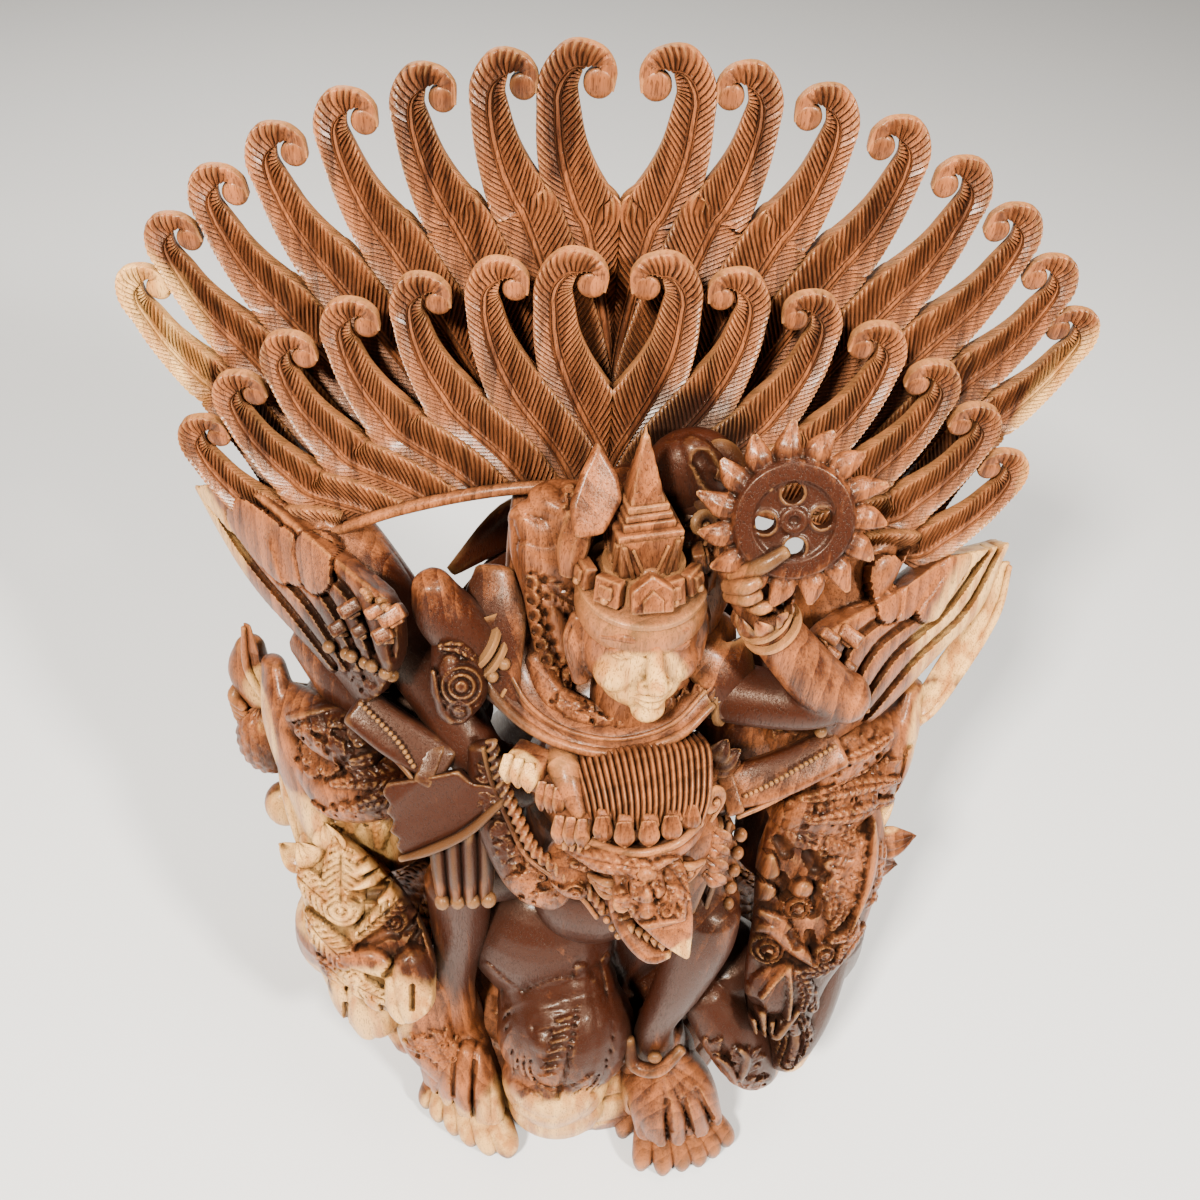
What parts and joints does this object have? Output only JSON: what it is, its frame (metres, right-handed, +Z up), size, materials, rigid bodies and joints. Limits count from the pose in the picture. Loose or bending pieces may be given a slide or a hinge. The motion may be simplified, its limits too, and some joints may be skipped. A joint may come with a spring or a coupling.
{
  "type": "vishnu on garuda carving",
  "caption": "Carved wooden statue of Vishnu seated on the bird Garuda, with two raised fans of curled feathers behind, a turtle and serpents below, and a flat underside.",
  "frame": {"origin": "middle of the flat underside", "axes": "+X to the viewer's right, +Y to the back, +Z up"},
  "size_m": [0.314, 0.1878, 0.4892],
  "materials": {
    "carved_wood": "waxed, semi-gloss, reddish brown with paler sapwood"
  },
  "bodies": {
    "root": {"vishnu_on_garuda": "carved_wood"}
  },
  "joints": []
}
